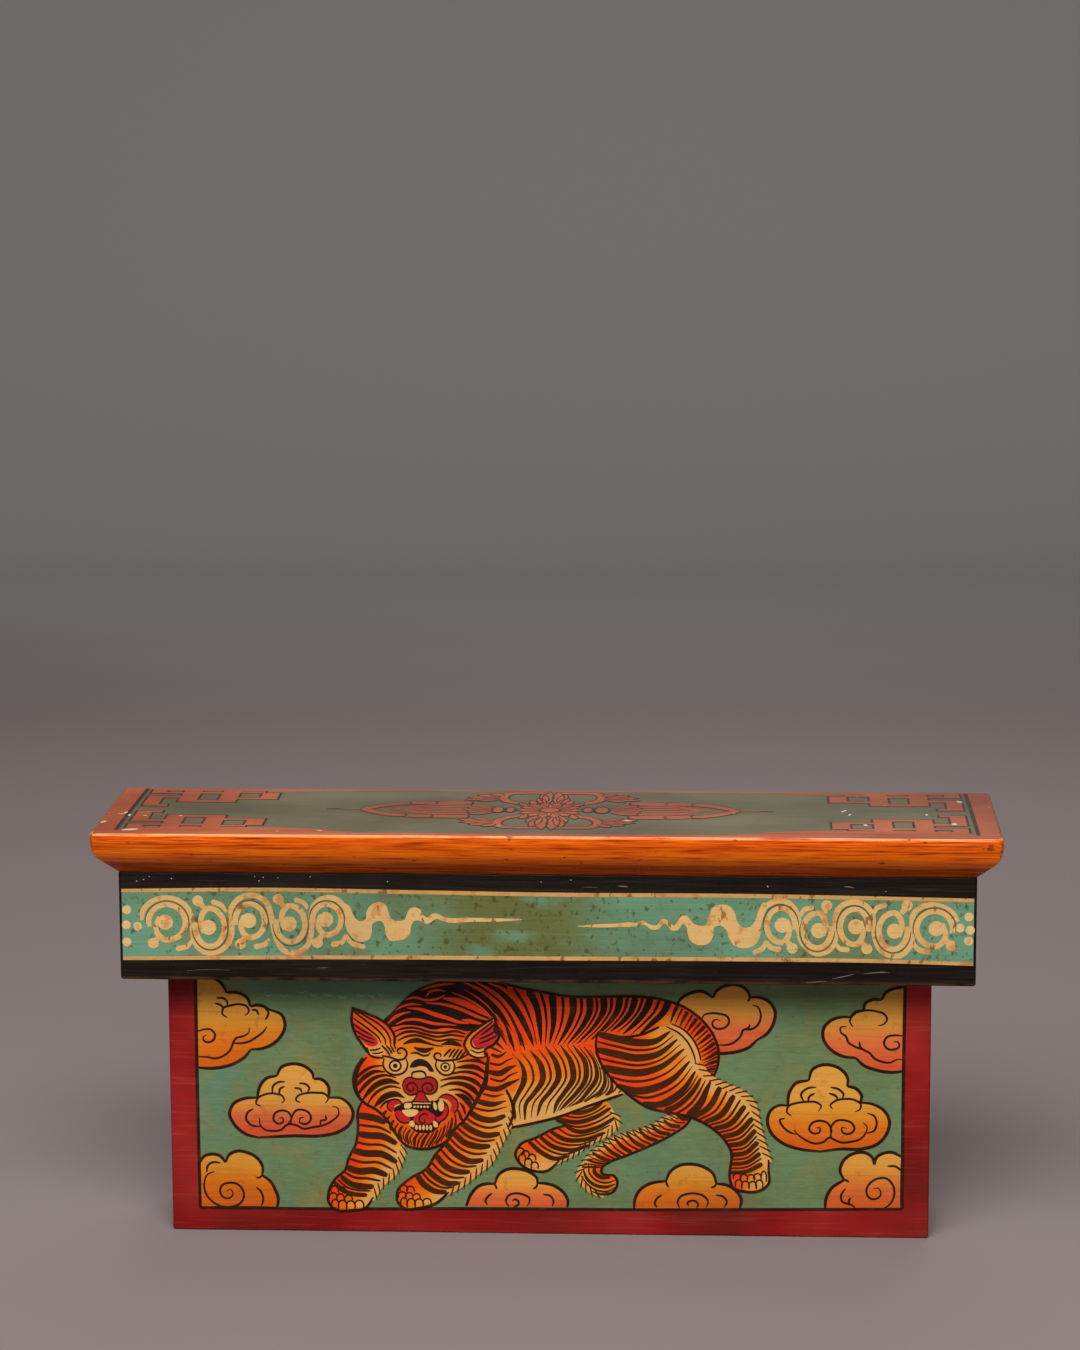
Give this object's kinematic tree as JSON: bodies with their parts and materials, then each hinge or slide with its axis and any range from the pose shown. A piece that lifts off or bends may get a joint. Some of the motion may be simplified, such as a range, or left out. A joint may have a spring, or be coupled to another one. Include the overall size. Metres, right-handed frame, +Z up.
{
  "type": "altar table",
  "caption": "Low painted wooden altar table: a moulded top board over a deep frieze, on a set-back body of front panel and sides, open at the back; it holds offerings, texts and lamps.",
  "frame": {"origin": "floor level under the middle of the top board", "axes": "+X along the width to the viewer's right, +Y from front to back, +Z up"},
  "size_m": [0.642, 0.16, 0.306],
  "materials": {
    "top_varnish": "orange varnish on the moulded edge, painted olive top with rust frets",
    "frieze_paint": "aged teal paint between black bands, with cream scrolls",
    "panel_paint": "aged green paint in a red border, with clouds and a tiger",
    "sawn_wood": "plain sawn softwood, darkened with age",
    "dowel_wood": "turned hardwood",
    "screw_steel": "dulled zinc"
  },
  "bodies": {
    "root": {"top_board": "top_varnish", "frieze_front": "frieze_paint", "frieze_left": "frieze_paint", "frieze_right": "frieze_paint", "front_panel": "panel_paint", "side_panel_left": "panel_paint", "side_panel_right": "panel_paint", "frieze_back": "sawn_wood", "packing_front": "sawn_wood", "packing_left": "sawn_wood", "packing_right": "sawn_wood", "cleat_front": "sawn_wood", "cleat_back": "sawn_wood", "cleat_left": "sawn_wood", "cleat_right": "sawn_wood", "corner_block_left": "sawn_wood", "corner_block_right": "sawn_wood", "frieze_dowels": "dowel_wood", "back_rail_dowels": "dowel_wood", "body_dowels": "dowel_wood", "cleat_screws": "screw_steel", "apron_screws": "screw_steel"}
  },
  "joints": []
}
